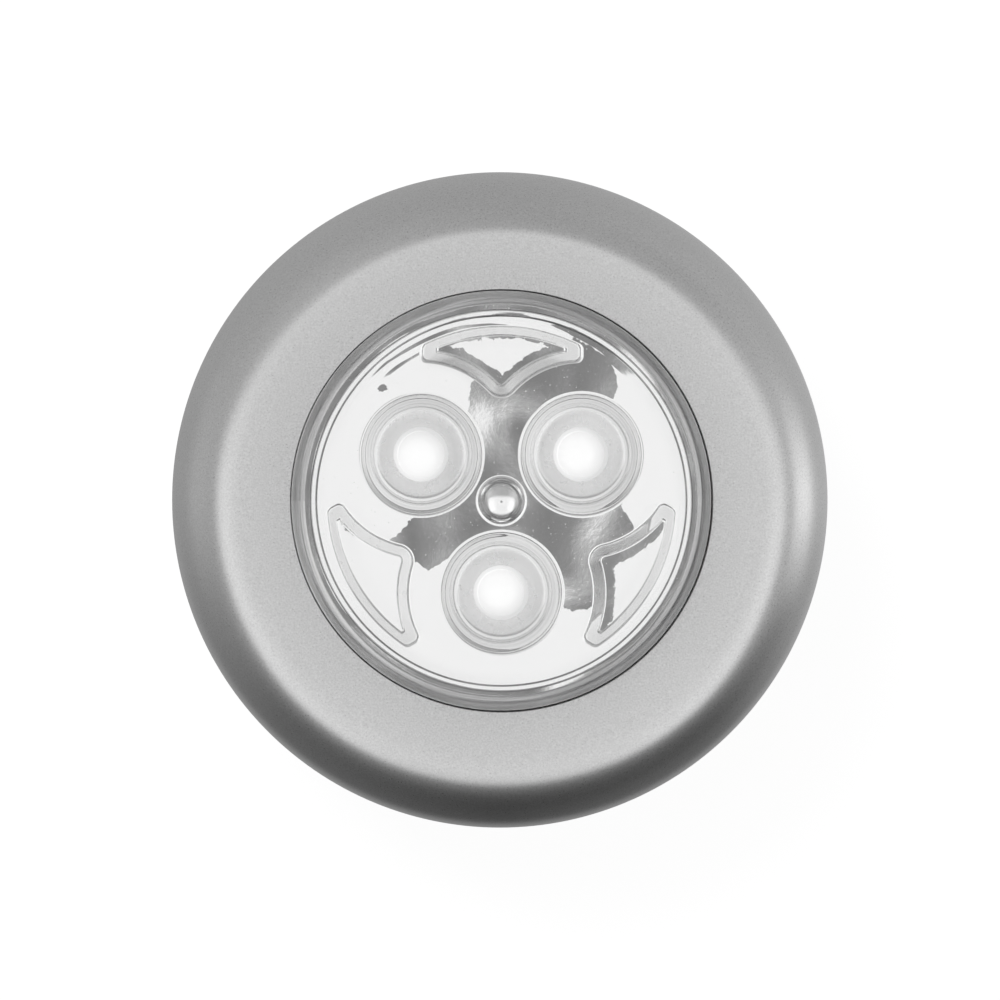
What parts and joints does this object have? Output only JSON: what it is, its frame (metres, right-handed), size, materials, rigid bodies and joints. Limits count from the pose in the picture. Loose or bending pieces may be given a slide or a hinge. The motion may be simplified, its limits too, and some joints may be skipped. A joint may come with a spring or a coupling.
{
  "type": "stick-on led light",
  "caption": "Round battery push light: silver ring housing, clear push lens over a chromed LED reflector, twist-off adhesive back.",
  "frame": {"origin": "centre of the adhesive pad's back face, where the light meets the wall or the cupboard", "axes": "+Z out through the lens, +Y towards the top of the light as pictured, +X to its right"},
  "size_m": [0.068, 0.068, 0.0274],
  "materials": {
    "silver_paint": "satin",
    "clear_plastic": "polished",
    "metallised_plastic": "polished",
    "led_epoxy": "gloss",
    "dark_plastic": "matte",
    "pale_plastic": "matte",
    "foam_tape": "matte",
    "plated_steel": "satin",
    "spring_steel": "satin",
    "tinned_leads": "satin",
    "cell_jacket": "gloss",
    "board_laminate": "satin",
    "resistor_body": "satin",
    "plunger_plastic": "satin",
    "red_insulation": "satin",
    "black_insulation": "satin"
  },
  "bodies": {
    "mounting_base": {"adhesive_pad": "foam_tape", "back_cover": "dark_plastic"},
    "light_body": {"outer_housing": "silver_paint", "battery_tray": "pale_plastic", "tray_screws": "plated_steel", "board_screws": "plated_steel", "cell_left": "cell_jacket", "cell_middle": "cell_jacket", "cell_right": "cell_jacket", "contact_coil_left": "spring_steel", "contact_coil_middle": "spring_steel", "contact_coil_right": "spring_steel", "link_plate_front": "spring_steel", "link_plate_rear": "spring_steel", "terminal_plate_positive": "spring_steel", "terminal_plate_negative": "spring_steel", "circuit_board": "board_laminate", "led_left": "led_epoxy", "led_right": "led_epoxy", "led_lower": "led_epoxy", "led_leads_left": "tinned_leads", "led_leads_right": "tinned_leads", "led_leads_lower": "tinned_leads", "resistor_upper": "resistor_body", "resistor_left": "resistor_body", "resistor_right": "resistor_body", "resistor_caps_upper": "tinned_leads", "resistor_caps_left": "tinned_leads", "resistor_caps_right": "tinned_leads", "switch_body": "dark_plastic", "switch_plate": "plated_steel", "switch_pins": "tinned_leads", "return_spring_upper": "spring_steel", "return_spring_left": "spring_steel", "return_spring_right": "spring_steel", "supply_lead_red": "red_insulation", "supply_lead_black": "black_insulation"},
    "push_head": {"clear_lens": "clear_plastic", "reflector": "metallised_plastic"},
    "switch_plunger": {"switch_plunger": "plunger_plastic"}
  },
  "joints": [
    {"name": "bayonet_twist", "type": "hinge", "parent": "mounting_base", "child": "light_body", "pos_m": [0, 0, 0.0028], "axis": [0, 0, 1], "range_deg": [0, 20]},
    {"name": "head_push", "type": "slide", "parent": "light_body", "child": "push_head", "axis": [0, 0, -1], "range_m": [0, 0.0018], "stiffness_N_per_m": 900, "springref_m": -0.0015, "deforming": ["return_spring_upper", "return_spring_left", "return_spring_right"]},
    {"name": "plunger_push", "type": "slide", "parent": "light_body", "child": "switch_plunger", "axis": [0, 0, -1], "range_m": [0, 0.0018]}
  ],
  "couplings": [
    {"joint": "plunger_push", "follows": "head_push", "ratio": 1}
  ]
}
